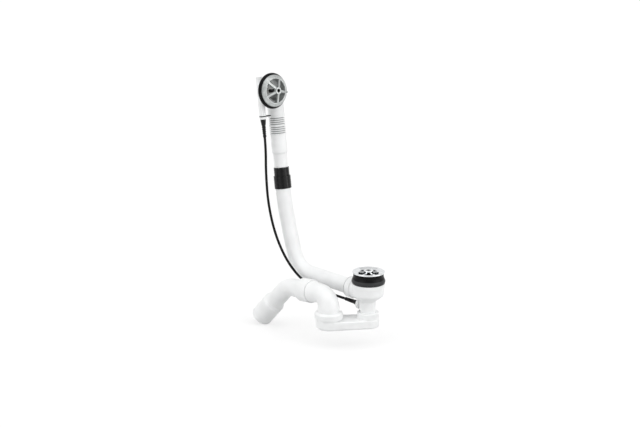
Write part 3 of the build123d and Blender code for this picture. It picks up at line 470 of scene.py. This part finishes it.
def camera():
    """Camera that puts the drain rim on its pixel of the photograph."""
    right, up, back = view_axes()
    aside = (RIM_PIXEL[0] - IMAGE_WIDTH / 2) * PIXEL_SIZE
    below = (RIM_PIXEL[1] - IMAGE_HEIGHT / 2) * PIXEL_SIZE
    eye = RIM_POINT + back * FOCAL_PIXELS * PIXEL_SIZE - right * aside + up * below
    data = bpy.data.cameras.new("camera")
    data.sensor_width = SENSOR_MM
    data.sensor_fit = "HORIZONTAL"
    data.lens = FOCAL_PIXELS / IMAGE_WIDTH * SENSOR_MM
    lens = bpy.data.objects.new("camera", data)
    lens.matrix_world = Matrix.Translation(eye) @ Matrix((right, up, back)).transposed().to_4x4()
    bpy.context.scene.collection.objects.link(lens)
    bpy.context.scene.camera = lens


def strip_light():
    """Tall soft light on the camera's right."""
    right, up, back = view_axes()
    data = bpy.data.lights.new("strip", "AREA")
    data.shape = "RECTANGLE"
    data.size = STRIP_WIDTH
    data.size_y = STRIP_HEIGHT
    data.energy = STRIP_WATTS
    lamp = bpy.data.objects.new("strip", data)
    lamp.location = AIM + right * STRIP_PLACE[0] + up * STRIP_PLACE[1] + back * STRIP_PLACE[2]
    lamp.rotation_euler = (AIM - lamp.location).to_track_quat("-Z", "Y").to_euler()
    bpy.context.scene.collection.objects.link(lamp)


def surroundings():
    """Soft light from four sides, with the unlit room behind the camera."""
    right, _, back = view_axes()
    near = Vector((back.x, back.y, 0)).normalized()
    above = Vector((0, 0, 1))
    sides = [(above, TOP_LIGHT), (right, RIGHT_LIGHT), (near, CAMERA_LIGHT), (-right, LEFT_LIGHT)]
    world = bpy.data.worlds.new("studio")
    world.use_nodes = True
    bpy.context.scene.world = world
    tree = world.node_tree
    tree.nodes.clear()
    way = add(tree, "ShaderNodeTexCoord", {}).outputs["Generated"]
    total = 0.0
    for side, light in sides:
        sockets = {0: way, 1: side}
        facing = add(tree, "ShaderNodeVectorMath", sockets, operation="DOT_PRODUCT").outputs["Value"]
        lit = add(tree, "ShaderNodeMath", {0: facing, 1: 0.0}, operation="MAXIMUM").outputs["Value"]
        sockets = {0: lit, 1: light, 2: total}
        total = add(tree, "ShaderNodeMath", sockets, operation="MULTIPLY_ADD").outputs["Value"]
    room = near * math.cos(ROOM_RISE) + above * math.sin(ROOM_RISE)
    sockets = {0: way, 1: room}
    facing = add(tree, "ShaderNodeVectorMath", sockets, operation="DOT_PRODUCT").outputs["Value"]
    fade = {"From Min": ROOM_EDGE, "From Max": ROOM_CORE, "To Min": 1.0, "To Max": ROOM_SHADE}
    sockets = {"Value": facing, **fade}
    shade = add(tree, "ShaderNodeMapRange", sockets, interpolation_type="SMOOTHSTEP").outputs["Result"]
    strength = add(tree, "ShaderNodeMath", {0: total, 1: shade}, operation="MULTIPLY").outputs["Value"]
    glow = add(tree, "ShaderNodeBackground", {"Color": colour(WHITE_LIGHT), "Strength": strength})
    add(tree, "ShaderNodeOutputWorld", {"Surface": glow.outputs["Background"]})


def paper_finish():
    # White paper: seen or mirrored it is plain white, and the object's shade still falls on it.
    material = bpy.data.materials.new("white_paper_sweep")
    material.use_nodes = True
    tree = material.node_tree
    tree.nodes.clear()
    path = add(tree, "ShaderNodeLightPath", {}).outputs
    seen = path["Is Camera Ray"]
    for ray in ("Is Glossy Ray", "Is Transmission Ray"):
        seen = add(tree, "ShaderNodeMath", {0: seen, 1: path[ray]}, operation="MAXIMUM").outputs["Value"]
    sockets = {"Value": seen, "To Min": FLOOR_BOUNCE, "To Max": FLOOR_SEEN}
    shade = add(tree, "ShaderNodeMapRange", sockets).outputs["Result"]
    paper = add(tree, "ShaderNodeBsdfDiffuse", {"Color": shade})
    strength = add(tree, "ShaderNodeMath", {0: seen, 1: FLOOR_GLOW}, operation="MULTIPLY").outputs["Value"]
    glow = add(tree, "ShaderNodeEmission", {"Color": colour(PAPER), "Strength": strength})
    both = add(tree, "ShaderNodeAddShader", {0: paper.outputs["BSDF"], 1: glow.outputs["Emission"]})
    add(tree, "ShaderNodeOutputMaterial", {"Surface": both.outputs["Shader"]})
    return material


def floor(level):
    """Paper sweep under and behind the object, square to the camera."""
    right, _, back = view_axes()
    away = Vector((-back.x, -back.y, 0)).normalized()
    profile = [(-FLOOR_FRONT, 0.0), (FLOOR_BACK, 0.0)]
    for step in range(1, COVE_STEPS + 1):
        turn = QUARTER_TURN * step / COVE_STEPS
        profile.append((FLOOR_BACK + COVE_RADIUS * math.sin(turn), COVE_RADIUS * (1 - math.cos(turn))))
    profile.append((FLOOR_BACK + COVE_RADIUS, COVE_TOP))
    corners = []
    for reach, height in profile:
        middle = away * reach + Vector((0, 0, level + height))
        corners += [middle - right * FLOOR_HALF, middle + right * FLOOR_HALF]
    faces = [(2 * row, 2 * row + 1, 2 * row + 3, 2 * row + 2) for row in range(len(profile) - 1)]
    mesh = bpy.data.meshes.new("paper_sweep")
    mesh.from_pydata(corners, [], faces)
    for face in mesh.polygons:
        face.use_smooth = True
    mesh.materials.append(paper_finish())
    piece = bpy.data.objects.new("paper_sweep", mesh)
    bpy.context.scene.collection.objects.link(piece)


def plain(box):
    """Corners of a box as lists of numbers."""
    return [[float(value) for value in corner] for corner in box]


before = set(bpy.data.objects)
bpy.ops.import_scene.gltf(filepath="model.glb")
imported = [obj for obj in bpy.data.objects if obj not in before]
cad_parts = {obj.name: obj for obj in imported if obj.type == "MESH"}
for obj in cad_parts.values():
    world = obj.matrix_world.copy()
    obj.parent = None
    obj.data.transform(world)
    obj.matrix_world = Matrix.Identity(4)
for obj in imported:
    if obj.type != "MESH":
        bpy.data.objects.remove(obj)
cad_box = plain(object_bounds())
bpy.context.scene.view_settings.view_transform = "Standard"
dress(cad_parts)
cable(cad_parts)
camera()
surroundings()
strip_light()
floor(cad_box[0][2] - FLOOR_DROP)
